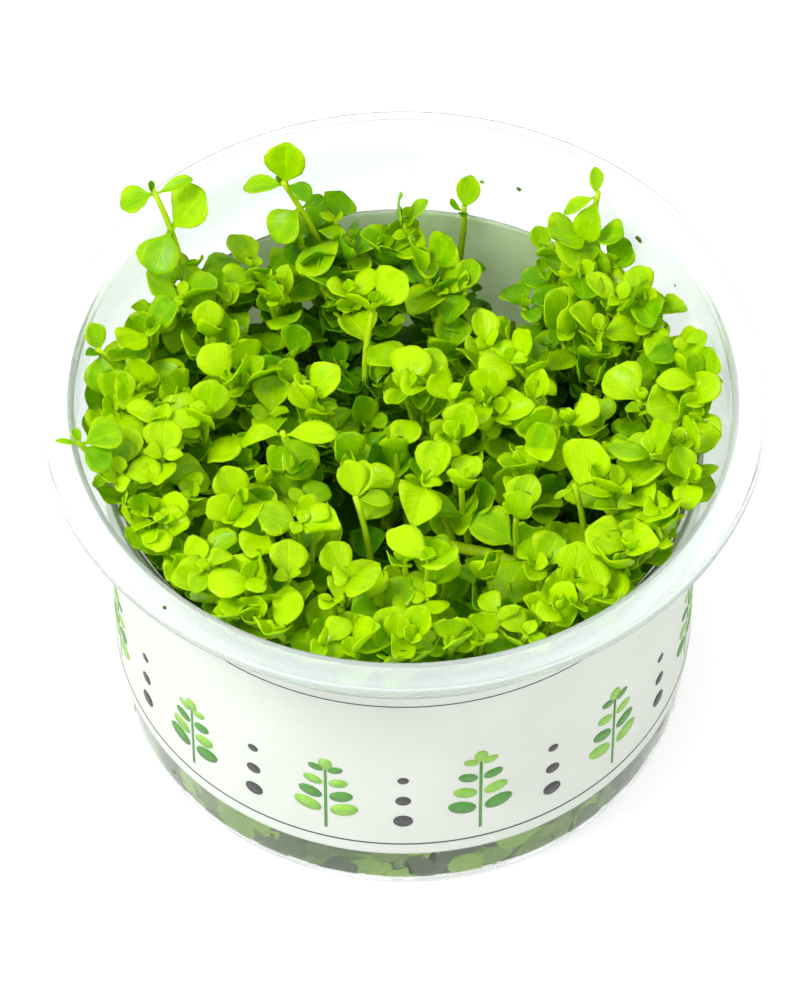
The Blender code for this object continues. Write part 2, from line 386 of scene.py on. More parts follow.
# Leaf finishes: tones from shaded to bright, and the light that comes through
freshLeaf = {
    "deep": (0.045, 0.200, 0.001), "mid": (0.190, 0.480, 0.001), "bright": (0.56, 0.82, 0.001),
    "through": (0.58, 0.90, 0.001), "throughShare": 0.42,
}
oldLeaf = {
    "deep": (0.040, 0.085, 0.002), "mid": (0.160, 0.320, 0.004), "bright": (0.36, 0.64, 0.006),
    "through": (0.38, 0.62, 0.006), "throughShare": 0.30,
}
leafSkin = {
    "blotches": (480, 5), "blotchRoughness": 0.68, "blotchShare": 0.62, "veinCount": 44.0, "veinSlant": -1.1,
    "veinShare": 0.17, "midribHalf": 0.045, "margin": (-0.18, 0.08), "gloss": (0.10, 0.30), "film": (1500, 2),
}


def makeLeafGreen(name, tones):
    material, shader = newMaterial(name, Roughness=0.35, IOR=1.38, Specular_IOR_Level=0.12,
                                   Coat_Weight=0.3, Coat_Roughness=0.05, Coat_IOR=1.33)
    place = objectPlace(material)
    ownTone = addNode(material, "ShaderNodeAttribute", attribute_name="tone").outputs["Fac"]
    flat = addNode(material, "ShaderNodeUVMap", uv_map="leafMap").outputs["UV"]
    across = addNode(material, "ShaderNodeSeparateXYZ", {"Vector": flat})
    blotch = addNoise(material, place, *leafSkin["blotches"], Roughness=leafSkin["blotchRoughness"])
    # Veins: a midrib and side veins that leave it forwards
    fromMiddle = addMath(material, "ABSOLUTE", addMath(material, "SUBTRACT", across.outputs["X"], 0.5))
    slant = addMath(material, "MULTIPLY_ADD", fromMiddle, leafSkin["veinSlant"], across.outputs["Y"])
    comb = addMath(material, "SINE", addMath(material, "MULTIPLY", slant, leafSkin["veinCount"]))
    sideVeins = addRange(material, comb, 0.0, 0.75, 0.7, 1.0)
    midrib = addRange(material, fromMiddle, 1.0, 0.0, 0.0, leafSkin["midribHalf"])
    veins = addMath(material, "MAXIMUM", midrib, sideVeins)
    # Tone: each leaf's own, which carries its painted light and shade, then mottling, then paler veins and
    # margins
    mottled = addMath(material, "MULTIPLY_ADD", blotch, leafSkin["blotchShare"], ownTone)
    veined = addMath(material, "MULTIPLY_ADD", veins, leafSkin["veinShare"], mottled)
    margin = addRange(material, fromMiddle, *leafSkin["margin"], 0.30, 0.5)
    tone = addMath(material, "ADD", veined, margin)
    colour = addRamp(material, tone, [(0.15, tones["deep"]), (0.55, tones["mid"]), (1.0, tones["bright"])])
    link(material, colour, shader.inputs["Base Color"])
    link(material, addRange(material, blotch, *leafSkin["gloss"], 0.3, 0.7), shader.inputs["Roughness"])
    addBump(material, shader, addMath(material, "MULTIPLY_ADD", veins, -0.6, blotch), 0.5, 0.0003)
    # A thin gloss that glints on the small bumps
    addBump(material, shader, addNoise(material, place, *leafSkin["film"]), 0.6, 0.0002, "Coat Normal")
    through = addNode(material, "ShaderNodeMix", {"Factor": 0.6, "A": colour, "B": (*tones["through"], 1.0)},
                      data_type="RGBA")
    addGlow(material, shader, tones["throughShare"], through.outputs["Result"])
    return material


def makeStemGreen():
    material, shader = newMaterial("stemGreen", Roughness=0.4, IOR=1.42, Specular_IOR_Level=0.20)
    ownTone = addNode(material, "ShaderNodeAttribute", attribute_name="tone").outputs["Fac"]
    blotch = addNoise(material, objectPlace(material), 500, 3)
    tone = addMath(material, "MULTIPLY_ADD", blotch, 0.4, ownTone)
    stops = [(0.2, (0.06, 0.13, 0.002)), (0.6, (0.33, 0.52, 0.004)), (1.0, (0.55, 0.74, 0.01))]
    link(material, addRamp(material, tone, stops), shader.inputs["Base Color"])
    link(material, addRange(material, blotch, 0.28, 0.55), shader.inputs["Roughness"])
    addBump(material, shader, blotch, 0.3, 0.0002)
    return material


leafGreen, oldGreen = makeLeafGreen("leafGreen", freshLeaf), makeLeafGreen("oldGreen", oldLeaf)
stemGreen = makeStemGreen()
leafFinishes = [leafGreen, stemGreen]


# One leaf, bent into its own form from a flat closed sheet: widths at shares of its length
leafShape = {
    "along": (0.0, 0.11, 0.22, 0.36, 0.53, 0.71, 0.87, 0.97),
    "width": (0.12, 0.12, 0.42, 0.78, 0.98, 1.0, 0.78, 0.40),
    "tipRound": 0.06, "thickness": 0.00018, "usualWidth": 0.90, "segments": 5, "tipRow": 5, "notched": 0.07,
}


def makeLeafSheet():
    bm = bmesh.new()
    rows = len(leafShape["along"]) - 1
    bmesh.ops.create_grid(bm, x_segments=leafShape["segments"], y_segments=rows, size=1.0)
    bmesh.ops.solidify(bm, geom=bm.faces[:], thickness=0.2)
    bmesh.ops.recalc_face_normals(bm, faces=bm.faces[:])
    lowest = min(vert.co.z for vert in bm.verts)
    leafMap = bm.loops.layers.uv.new("leafMap")
    bm.verts.layers.float.new("tone")
    for face in bm.faces:
        for loop in face.loops:
            loop[leafMap].uv = ((loop.vert.co.x + 1) / 2, (loop.vert.co.y + 1) / 2)
    places = [(v.co.x, round((v.co.y + 1) / 2 * rows), v.co.z - lowest > 0.1) for v in bm.verts]
    mesh = bpy.data.meshes.new("leafSheet")
    bm.to_mesh(mesh)
    bm.free()
    return mesh, places


leafSheet, leafPlaces = makeLeafSheet()


def newGrowth():
    bm = bmesh.new()
    bm.loops.layers.uv.new("leafMap")
    bm.verts.layers.float.new("tone")
    return bm


def leafForm(chance, flat=False):
    # How one leaf is bent: along its length, across it, at its edges and about its midrib
    return {
        "width": leafShape["usualWidth"] * chance.uniform(0.80, 1.15),
        "bend": chance.uniform(-0.2, 0.2) if flat
                else chance.choice((chance.uniform(-1.1, -0.1), chance.uniform(0.1, 1.5))),
        "cup": chance.uniform(0.0, 0.1) if flat else chance.uniform(-0.15, 0.75),
        "crease": chance.uniform(0.0, 0.12),
        "wave": chance.uniform(0.0, 0.30),
        "phase": chance.uniform(0.0, 6.3),
        "twist": chance.uniform(-0.6, 0.6),
        "tip": chance.uniform(-0.10, -0.02) if chance.random() < leafShape["notched"]
               else leafShape["tipRound"],
        "lop": chance.uniform(-0.08, 0.08),
        "sides": [(chance.uniform(0.0, 0.12), chance.uniform(0, 6.3)) for _ in range(2)],
    }


def leafPoints(root, outward, rise, length, form):
    across = Vector((-outward.y, outward.x, 0))
    along = outward * math.cos(rise) + upAxis * math.sin(rise)
    normal = along.cross(across)
    bend = form["bend"] if abs(form["bend"]) > 0.01 else 0.01
    points = []
    for u, row, upper in leafPlaces:
        share = leafShape["along"][row]
        half = leafShape["width"][row] * form["width"] * length / 2
        uneven, phase = form["sides"][u > 0]
        half *= 1 + uneven * abs(u) * math.sin(5 * share + phase)
        turn = bend * share
        reach = length * math.sin(turn) / bend
        lift = length * (1 - math.cos(turn)) / bend
        if row > leafShape["tipRow"]:
            reach += length * form["tip"] * (row - leafShape["tipRow"]) / 2 * (1 - u * u)
        lift += half * (form["cup"] * u * u + form["crease"] * abs(u))
        lift += half * form["wave"] * abs(u) ** 3 * math.sin(6 * share + form["phase"] + u)
        lean = form["twist"] * share
        sideways = across * math.cos(lean) + normal * math.sin(lean)
        offset = leafShape["thickness"] if upper else 0.0
        aside = sideways * half * (u + form["lop"] * share)
        points.append(root + along * reach - aside + normal * (lift + offset))
    return points


fitting = {"gap": 0.0004, "topGap": 0.0001, "tries": 7, "shorter": 0.88, "lift": 0.16, "steepest": 1.45}


def clearOfCup(point):
    # Inside the wall below the rim, or over the flange, and within the highest leaf's height
    reach, gap = point.xy.length, fitting["gap"]
    if point.z > cadBox[1].z - fitting["topGap"]:
        return False
    if point.z > cup["rimHeight"] + gap:
        return reach < cup["rimRadius"] - gap
    return reach < wallRadius(point.z) - gap


def addLeaf(bm, root, outward, rise, length, tone, form):
    # A leaf that would meet the cup is lifted and shortened until it is clear
    for _ in range(fitting["tries"]):
        points = leafPoints(root, outward, rise, length, form)
        if all(clearOfCup(point) for point in points):
            break
        length *= fitting["shorter"]
        rise = min(rise + fitting["lift"], fitting["steepest"])
    else:
        return
    toneLayer = bm.verts.layers.float["tone"]
    start = len(bm.verts)
    bm.from_mesh(leafSheet)
    for vert, point in zip(bm.verts[start:], points):
        vert.co = point
        vert[toneLayer] = tone


def addStem(bm, points, radii, tone, sides=7):
    # A closed tube along points, grown ring by ring from a short cone
    toneLayer = bm.verts.layers.float["tone"]
    whole = (points[-1] - points[0]).normalized()
    guide = Vector((0, 1, 0)) if abs(whole.x) > 0.8 else Vector((1, 0, 0))

    def frameAt(i):
        before, after = points[max(i - 1, 0)], points[min(i + 1, len(points) - 1)]
        ahead = (after - before).normalized()
        first = (guide - ahead * ahead.dot(guide)).normalized()
        return first, ahead.cross(first)

    made = bmesh.ops.create_cone(bm, cap_ends=True, segments=sides, radius1=1, radius2=1, depth=1)["verts"]
    turned = [(vert, math.atan2(vert.co.y, vert.co.x), 1 if vert.co.z > 0 else 0) for vert in made]
    for vert, turn, level in turned:
        first, second = frameAt(level)
        vert.co = points[level] + (first * math.cos(turn) + second * math.sin(turn)) * radii[level]
    topVerts = {vert for vert, turn, level in turned if level}
    cap = next(face for vert in topVerts for face in vert.link_faces if set(face.verts) == topVerts)
    for i in range(2, len(points)):
        first, second = frameAt(i - 1)
        newFirst, newSecond = frameAt(i)
        cap = bmesh.ops.extrude_discrete_faces(bm, faces=[cap])["faces"][0]
        for vert in cap.verts:
            offset = vert.co - points[i - 1]
            turn = math.atan2(offset.dot(second), offset.dot(first))
            vert.co = points[i] + (newFirst * math.cos(turn) + newSecond * math.sin(turn)) * radii[i]
    stack, seen = list(cap.verts), set(cap.verts)
    while stack:
        vert = stack.pop()
        vert[toneLayer] = tone
        for edge in vert.link_edges:
            other = edge.other_vert(vert)
            if other not in seen:
                seen.add(other)
                stack.append(other)
    for vert in seen:
        for face in vert.link_faces:
            face.material_index = 1


# Where the sprigs stand, as in the solids: foot x and y, tip x, y and height, leaf length,
# turn of the top pair and rise of its two leaves in degrees
tallSprigs = {
    "back_left": (-0.0275, 0.0225, -0.0350, 0.0285, 0.0690, 0.0056, 20, 30, 45),
    "round_leaf": (-0.0100, 0.0345, -0.0172, 0.0352, 0.0655, 0.0074, 10, 76, 24),
    "back_single": (0.0083, 0.0355, 0.0086, 0.0386, 0.0535, 0.0050, 60, 70, 30),
    "back_right": (0.0245, 0.0260, 0.0284, 0.0335, 0.0630, 0.0062, 25, 62, 50),
    "right_edge": (0.0352, 0.0030, 0.0410, 0.0040, 0.0580, 0.0055, 95, 45, 35),
    "left_edge": (-0.0345, 0.0085, -0.0420, 0.0080, 0.0600, 0.0055, 80, 60, 30),
    "left_over_rim": (-0.0335, -0.0115, -0.0440, -0.0110, 0.0640, 0.0052, 15, 35, 20),
    "left_arch": (-0.0145, -0.0060, -0.0165, -0.0040, 0.0570, 0.0066, 5, 15, 5),
    "front_middle": (-0.0029, -0.0200, -0.0065, -0.0150, 0.0570, 0.0066, 20, 55, 30),
    "front_right": (0.0258, -0.0180, 0.0232, -0.0140, 0.0585, 0.0068, 15, 20, 50),
    "front_rim": (-0.0010, -0.0355, -0.0010, -0.0398, 0.0575, 0.0052, 5, 20, 25),
    "back_middle": (-0.0060, 0.0130, -0.0040, 0.0185, 0.0570, 0.0060, 30, 30, 40),
}

planting = {
    "matTop": 0.0320, "footGap": 0.0003, "count": 42, "seed": 21, "field": 0.0355, "candidates": 400,
    "pairSpacing": 0.0056, "usualPairs": 3, "usualLeaf": 0.0056, "lean": 0.0012,
    "heightSpread": (-0.0045, 0.0030), "leafSpread": (0.9, 1.1),
    "riseSpread": (math.radians(20), math.radians(60)),
    "middle": 0.0535, "sideRise": 0.0035, "frontRise": 0.0075,
    "clearSpot": Vector((0.0140, 0.0325)), "clearRadius": 0.0048, "knot": 0.0008, "lowerRise": 0.7,
}


def canopyHeight(x, y):
    sides = planting["middle"] + planting["sideRise"] * abs(x) / cup["rimRadius"]
    return sides - planting["frontRise"] * y / cup["rimRadius"]


def stemPoint(foot, tip, height):
    share = (height - foot.z) / (tip.z - foot.z)
    level = foot.lerp(tip, share)
    bend = share * (1.0 - share)
    return Vector((level.x - bend * (tip.x - foot.x), level.y - bend * (tip.y - foot.y), height))


def planSprigs():
    chance = random.Random(planting["seed"])
    footHeight = planting["matTop"] + planting["footGap"]
    plans = []
    for name, (x, y, tipX, tipY, tipHeight, leaf, turn, rise, otherRise) in tallSprigs.items():
        plans.append({
            "name": f"sprig_{name}", "foot": Vector((x, y, footHeight)), "tip": Vector((tipX, tipY, tipHeight)),
            "leaf": leaf, "turn": math.radians(turn), "rises": (math.radians(rise), math.radians(otherRise)),
            "pairs": round((tipHeight - footHeight) / planting["pairSpacing"]),
        })
    while len(plans) < planting["count"]:
        best, bestGap = None, 0.0
        for _ in range(planting["candidates"]):
            turn = chance.uniform(0.0, 2 * math.pi)
            reach = planting["field"] * math.sqrt(chance.random())
            spot = Vector((reach * math.cos(turn), reach * math.sin(turn)))
            gap = min((spot - plan[end].xy).length for plan in plans for end in ("foot", "tip"))
            clear = (spot - planting["clearSpot"]).length > planting["clearRadius"] + planting["usualLeaf"]
            if gap > bestGap and clear:
                best, bestGap = spot, gap
        height = canopyHeight(best.x, best.y) + chance.uniform(*planting["heightSpread"])
        lean = planting["lean"]
        plans.append({
            "name": f"sprig_{len(plans) + 1:02d}", "foot": Vector((best.x, best.y, footHeight)),
            "tip": Vector((best.x + chance.uniform(-lean, lean), best.y + chance.uniform(-lean, lean), height)),
            "leaf": planting["usualLeaf"] * chance.uniform(*planting["leafSpread"]),
            "turn": chance.uniform(0.0, math.pi),
            "rises": (chance.uniform(*planting["riseSpread"]), chance.uniform(*planting["riseSpread"])),
            "pairs": planting["usualPairs"],
        })
    return plans


plans = planSprigs()


# Stems with leaves in crosswise pairs
growth = {
    "stemFoot": 0.00060, "stemTip": 0.00040, "ringStep": 0.0022, "sway": 0.00035, "leafScale": 1.15,
    "bareSpacing": 0.0068, "bareLeaf": 1.18, "lowest": 0.002, "seed": 5, "sprigSeed": 100,
    "fillShoots": 34, "fillLeaf": (0.0040, 0.0058), "fillDrop": (0.001, 0.0085), "fillSpacing": 0.0042,
    "fillReach": 0.0385, "fillTries": 160, "fillPairs": 4, "fillRise": (0.0, 1.15), "towardsTip": 0.2,
    "budLeaf": (0.30, 0.50), "axilShare": 0.30, "axilLeaf": (0.35, 0.6), "axilStem": [0.0003, 0.00028, 0.00025],
    "edgeShoots": 42, "edgeTurns": (-228, 48), "edgeFoot": 0.0345, "edgeTip": (0.0392, 0.0412),
    "edgeLeaf": (0.0042, 0.0062), "edgeDrop": (-0.0045, 0.0005), "edgeLowest": 0.0525,
    "toneFrom": 0.036, "toneOver": 0.020, "toneRise": 0.68, "toneSpread": (-0.16, 0.22),
    # Painted light and shade on the top leaves of shoots, by where they stand: lighter on tall sprigs, edge
    # shoots and the rosettes in the middle, front and sides, darker on the shoots at the back
    "tallLight": 0.05, "edgeLight": 0.05, "backShade": -0.14,
    "middleLight": 0.34, "frontLight": 0.22, "sideLight": 0.10,
}


# Where the grown tip stands beside the solid's, in mm
tipShifts = {"round_leaf": (0.5, -2.0, 0.0), "back_left": (0.4, 0.6, 0.0), "back_right": (-1.2, 0.0, 0.0)}

# Leaves that stand out on the tall sprigs, by node from the top:
# turn and rise in degrees, length in mm, width, bend along, cup across, tone
shownLeaves = {
    "back_left": {
        0: [(197, -5, 4.8, 0.95, -0.3, 0.30, 0.55), (8, 14, 5.4, 0.42, 0.3, 0.60, 0.60),
            (150, 60, 2.2, 0.6, 0.2, 0.4, 0.15)],
        1: [(28, 40, 7.4, 1.05, 0.25, 0.12, 0.66), (250, -38, 8.2, 0.95, -0.3, 0.10, 0.45)],
        2: [(300, -30, 7.0, 0.6, -0.4, 0.30, 0.50), (140, 25, 3.6, 0.8, -0.4, 0.2, 0.35)],
        3: [(205, 10, 5.6, 1.0, 0.4, 0.2, 0.45), (20, 20, 5.6, 0.9, -0.5, 0.2, 0.45)],
    },
    "round_leaf": {
        0: [(80, 64, 7.9, 0.86, 0.06, 0.14, 0.66), (180, 2, 5.6, 0.62, -0.4, 0.25, 0.55),
            (-20, -8, 4.0, 0.75, -0.5, 0.2, 0.30), (150, 40, 1.8, 0.8, 0.2, 0.3, 0.05)],
        1: [(222, -18, 5.6, 1.05, -0.5, 0.15, 0.55), (15, 10, 3.4, 0.7, 0.4, 0.3, 0.3)],
        2: [(250, -30, 5.6, 1.1, -0.4, 0.10, 0.12), (70, 20, 4.6, 0.9, 0.3, 0.2, 0.35)],
    },
    "back_single": {
        0: [(70, 52, 5.2, 0.68, 0.2, 0.30, 0.60), (170, 16, 2.7, 0.5, 0.9, 0.5, 0.45),
            (265, 20, 1.8, 0.8, 0.4, 0.3, 0.05)],
        1: [], 2: [(190, 15, 3.6, 0.8, -0.4, 0.2, 0.25), (10, 20, 3.2, 0.8, -0.4, 0.2, 0.25)],
    },
    "back_right": {
        0: [(95, 30, 4.0, 0.5, 0.2, 0.40, 0.55), (245, -50, 6.6, 0.62, -0.3, 0.30, 0.62),
            (190, -20, 5.0, 0.5, -0.4, 0.2, 0.60)],
        1: [(200, 10, 6.8, 1.05, 0.6, 0.35, 0.60), (340, 0, 5.6, 0.9, 0.5, 0.4, 0.52),
            (265, -40, 6.6, 1.1, -0.3, 0.1, 0.50)],
        2: [(235, -45, 9.4, 0.95, -0.3, 0.15, 0.58), (310, -30, 7.4, 1.0, -0.4, 0.15, 0.45),
            (175, 15, 6.0, 0.9, 0.4, 0.2, 0.55)],
        3: [(215, -15, 7.6, 1.0, -0.5, 0.15, 0.52), (340, -5, 7.4, 0.9, -0.6, 0.2, 0.48),
            (280, -20, 6.4, 0.9, -0.4, 0.2, 0.45)],
    },
    "right_edge": {
        0: [(58, 42, 5.6, 0.85, 0.6, 0.35, 0.60), (-5, 2, 4.6, 0.6, -0.3, 0.3, 0.55),
            (120, 50, 4.6, 0.7, 0.3, 0.4, 0.50), (175, 12, 5.6, 0.72, -0.4, 0.25, 0.85)],
    },
    "left_edge": {
        0: [(120, 40, 5.4, 0.75, -0.3, 0.30, 0.52), (215, -10, 4.6, 0.7, -0.3, 0.3, 0.20),
            (270, -50, 7.8, 0.85, -0.4, 0.15, 0.48)],
        1: [(258, -32, 5.8, 0.95, -0.4, 0.2, 0.48), (60, 30, 5.4, 1.0, -0.5, 0.2, 0.45)],
    },
    "left_over_rim": {
        0: [(170, 8, 3.3, 0.28, -0.2, 0.3, 0.50), (130, 40, 2.4, 0.6, 0.3, 0.4, 0.55),
            (20, 12, 5.6, 0.95, -0.3, 0.2, 0.50), (320, -8, 4.8, 0.85, -0.4, 0.2, 0.40)],
        1: [(245, -15, 4.2, 0.7, -0.5, 0.3, 0.48), (60, 25, 5.2, 1.0, -0.4, 0.2, 0.45)],
    },
    "left_arch": {
        0: [(180, 34, 7.2, 0.46, -2.0, 0.25, 0.80), (0, 14, 7.2, 0.50, -0.5, 0.35, 0.88),
            (310, -28, 6.4, 0.95, -0.3, 0.2, 0.55)],
    },
    "front_middle": {
        0: [(108, 40, 5.6, 0.72, 0.2, 0.35, 0.88), (78, 30, 5.4, 0.70, 0.2, 0.3, 0.72),
            (14, -8, 4.6, 0.62, -0.3, 0.3, 0.72)],
        1: [], 2: [],
    },
    "front_right": {
        0: [(58, 42, 7.0, 1.02, 0.3, 0.20, 0.92), (205, 0, 3.0, 0.35, -0.4, 0.3, 0.75),
            (-12, 18, 5.0, 0.5, -0.6, 0.3, 0.75)],
        1: [], 2: [(215, -10, 5.6, 0.9, -0.6, 0.2, 0.45), (330, -20, 6.2, 1.05, -0.5, 0.2, 0.45)],
    },
    "front_rim": {
        0: [(176, 6, 5.4, 0.78, -0.2, 0.25, 0.60), (80, 45, 4.4, 0.85, 0.4, 0.4, 0.75),
            (-4, 0, 5.0, 0.6, -0.3, 0.3, 0.62)],
    },
}

# Gaps where only stems stand, x, y and reach in mm
gaps = [
    (11.9, -14.5, 6.0), (4.0, -17.5, 5.0), (-0.4, -15.7, 4.0), (17.4, -7.0, 3.0), (-21.7, -7.8, 3.5),
    (6.3, -31.4, 3.0), (-8.5, -25.6, 3.5), (1.0, 19.2, 4.0), (14.0, 32.5, 7.5),
]

# Rosettes between them, lightened with painted light: x, y and height in mm, and leaf length in mm
rosettes = [
    (11.6, 12.6, 55, 5.4), (15.0, 9.2, 56, 6.2), (6.6, 2.3, 56, 5.2), (18.1, 2.8, 56, 4.8),
    (13.4, 0.3, 55, 5.0), (18.6, -4.1, 56, 5.6), (2.8, -12.6, 57, 6.2), (16.2, -10.4, 55, 4.6),
    (0.0, -25.7, 57, 4.4), (3.1, -30.4, 55, 4.6), (34.5, -17.7, 58, 5.2), (34.4, -23.0, 58, 5.4),
    (29.0, -24.6, 55, 6.2), (-32.9, -2.6, 58, 5.6), (-32.8, -9.0, 58, 6.2), (-13.0, 2.2, 57, 5.4),
    (-23.0, -18.1, 56, 4.6), (-18.2, -20.8, 57, 4.8), (-32.2, -19.6, 57, 5.2), (-11.3, -18.2, 56, 4.4),
    (-15.3, -28.7, 57, 5.6), (-25.6, -29.6, 56, 7.2), (-20.9, -31.7, 57, 5.0), (-9.3, -31.6, 56, 4.2),
    (29.3, -14.2, 58, 7.0), (38.0, -6.9, 58, 5.4), (-7.4, 22.8, 54, 4.2), (-18.5, 21.4, 54, 5.0),
    (0.3, 6.4, 54, 5.4), (28.7, 16.1, 53, 5.6), (32.5, 2.3, 56, 5.6), (-38.3, -12.8, 59, 5.6),
    (23.2, 16.1, 54, 6.4), (-24.0, 6.0, 56, 5.4), (-27.0, 14.0, 56, 5.2), (-36.5, 3.5, 57, 5.6),
]

# Shoots that stand at the back, in front of the paper, darkened with painted shade
backShoots = [
    (-9.5, 34.7, 55.5, 4.2), (0.6, 34.9, 55.5, 4.6), (3.1, 28.2, 53, 6.4), (-2.5, 31.2, 53, 5.2),
    (-7.4, 30.3, 53, 5.6), (-14.4, 31.3, 54, 6.2), (-12.3, 27.6, 53, 5.4), (19.9, 30.4, 54, 4.2),
    (30.1, 19.8, 56, 5.6), (33.6, 19.8, 56, 5.6), (34.2, 15.3, 55, 5.2), (27.3, 14.5, 56, 5.6),
    (38.4, 11.0, 56, 5.0), (-21.4, 27.4, 54, 5.8), (-25.5, 22.4, 55, 5.8), (24.7, 25.1, 55, 6.6),
    (-31.0, 20.5, 56, 5.6), (-35.0, 14.0, 57, 5.8), (8.8, 24.6, 52, 4.6),
]


def toneAt(height, chance):
    # Leaves high up are paler than the ones below: partly the younger growth, partly painted shade on the lower
    # leaves
    share = min(max((height - growth["toneFrom"]) / growth["toneOver"], 0.0), 1.0)
    return growth["toneRise"] * share + chance.uniform(*growth["toneSpread"])


def turned(turn):
    return Vector((math.cos(turn), math.sin(turn), 0))


def bareBelow(tip):
    # In the front middle the stems are bare under their top pairs
    return -0.012 < tip.x < 0.022 and -0.033 < tip.y < -0.006


def growShoot(bm, foot, tip, leaf, turn, rises, pairs, spacing, chance, bright=0.0, shown=None):
    leaf *= growth["leafScale"]
    shown = shown or {}
    if bareBelow(tip):
        pairs, spacing = 2, growth["bareSpacing"]
    length = tip.z - foot.z
    count = max(int(length / growth["ringStep"]), 3)
    points, radii = [], []
    wobble = (chance.uniform(0, 6.3), chance.uniform(0, 6.3))
    for i in range(count + 1):
        share = i / count
        point = stemPoint(foot, tip, foot.z + share * length)
        sway = growth["sway"] * math.sin(math.pi * share)
        point += Vector((sway * math.sin(7 * share + wobble[0]), sway * math.sin(6 * share + wobble[1]), 0))
        points.append(point)
        radii.append(growth["stemFoot"] + share * (growth["stemTip"] - growth["stemFoot"]))
    addStem(bm, points, radii, 0.28 + 0.32 * chance.random())
    for above in range(pairs):
        height = tip.z - above * spacing - planting["knot"]
        if height < foot.z + growth["lowest"]:
            break
        node = stemPoint(foot, tip, height)
        for leafTurn, leafRise, leafLength, width, bend, cupping, tone in shown.get(above, ()):
            form = leafForm(chance)
            form.update(width=width, bend=bend, cup=cupping, twist=chance.uniform(-0.15, 0.15), wave=0.05)
            outward = turned(math.radians(leafTurn))
            root = node + outward * growth["stemTip"] * 0.6
            addLeaf(bm, root, outward, math.radians(leafRise), leafLength / 1000, tone, form)
        if above in shown:
            continue
        pairTurn = turn + (math.pi / 2 if above % 2 else 0)
        size = leaf * (0.92 if above == 0 else 1.0) * (0.96 ** above)
        if above and bareBelow(tip):
            size *= growth["bareLeaf"]
        for side, rise in enumerate(rises):
            outward = turned(pairTurn + side * math.pi + chance.uniform(-0.2, 0.2))
            rise = rise * planting["lowerRise"] ** above + chance.uniform(-0.12, 0.12)
            form = leafForm(chance)
            root = node + outward * growth["stemTip"] * 0.6
            # Painted light: a shoot's extra brightness falls most on its top pair
            tone = toneAt(node.z, chance) + bright / (1 + above)
            addLeaf(bm, root, outward, rise, size * chance.uniform(0.85, 1.08), tone, form)
            if above and not bareBelow(tip) and chance.random() < growth["axilShare"]:
                budTurn = pairTurn + side * math.pi
                budTip = node + turned(budTurn) * chance.uniform(0.001, 0.0022)
                budTip += upAxis * chance.uniform(0.0015, 0.0035)
                addStem(bm, [node, (node + budTip) / 2, budTip], growth["axilStem"], 0.5)
                for other in (0, 1):
                    outwardBud = turned(budTurn + math.pi / 2 + other * math.pi + chance.uniform(-0.4, 0.4))
                    budSize = leaf * chance.uniform(*growth["axilLeaf"])
                    budRise, tone = chance.uniform(0.3, 1.0), toneAt(node.z, chance) + 0.1
                    addLeaf(bm, budTip, outwardBud, budRise, budSize, tone, leafForm(chance))
    # The youngest pair, still half folded at the tip
    for side in (0, 1) if 0 not in shown else ():
        outward = turned(turn + math.pi / 2 + side * math.pi + chance.uniform(-0.3, 0.3))
        budSize = leaf * chance.uniform(*growth["budLeaf"])
        # The shoot's painted light falls on the youngest pair too
        budRise, tone = chance.uniform(0.5, 1.1), toneAt(tip.z, chance) + 0.15 + bright
        addLeaf(bm, tip - upAxis * 0.0002, outward, budRise, budSize, tone, leafForm(chance))


def planFill():
    # Smaller shoots between the sprigs, each grown from the nearest sprig's foot
    chance = random.Random(growth["seed"])
    taken = [plan[end].xy for plan in plans for end in ("foot", "tip")]
    fill = {plan["name"]: [] for plan in plans}

    def plant(x, y, height, leaf, bright, footReach=None):
        spot = Vector((x, y))
        taken.append(spot)
        nearest = min(plans, key=lambda plan: (plan["foot"].xy - spot).length)
        foot = nearest["foot"].lerp(Vector((x, y, nearest["foot"].z)), growth["towardsTip"])
        if footReach:
            foot = spot.to_3d().normalized() * footReach + upAxis * nearest["foot"].z
        fill[nearest["name"]].append((foot, Vector((x, y, height)), leaf, bright))

    for x, y, height, leaf in rosettes:
        # Painted light by place: most on the rosettes in the middle, less at the front and least at the sides
        place = "middleLight" if 5 < x < 20 and y > -13 else "frontLight" if y < -3 else "sideLight"
        plant(x / 1000, y / 1000, height / 1000, leaf / 1000, growth[place])
    for x, y, height, leaf in backShoots:
        plant(x / 1000, y / 1000, height / 1000, leaf / 1000, growth["backShade"])
    first, last = growth["edgeTurns"]
    for count in range(growth["edgeShoots"]):
        turn = math.radians(first + (last - first) * (count + chance.uniform(0.2, 0.8)) / growth["edgeShoots"])
        spot = turned(turn) * chance.uniform(*growth["edgeTip"])
        height = max(canopyHeight(spot.x, spot.y) + chance.uniform(*growth["edgeDrop"]), growth["edgeLowest"])
        leaf = chance.uniform(*growth["edgeLeaf"])
        plant(spot.x, spot.y, height, leaf, growth["edgeLight"], growth["edgeFoot"])
    for _ in range(growth["fillShoots"]):
        best, bestGap = None, 0.0
        for _ in range(growth["fillTries"]):
            turn = chance.uniform(0.0, 2 * math.pi)
            away = growth["fillReach"] * math.sqrt(chance.random())
            spot = turned(turn).xy * away
            gap = min((spot - other).length for other in taken)
            open = any((spot - Vector((x, y)) / 1000).length < reach / 1000 for x, y, reach in gaps)
            if gap > bestGap and not open:
                best, bestGap = spot, gap
        height = canopyHeight(best.x, best.y) - chance.uniform(*growth["fillDrop"])
        plant(best.x, best.y, height, chance.uniform(*growth["fillLeaf"]), 0.0)
    return fill


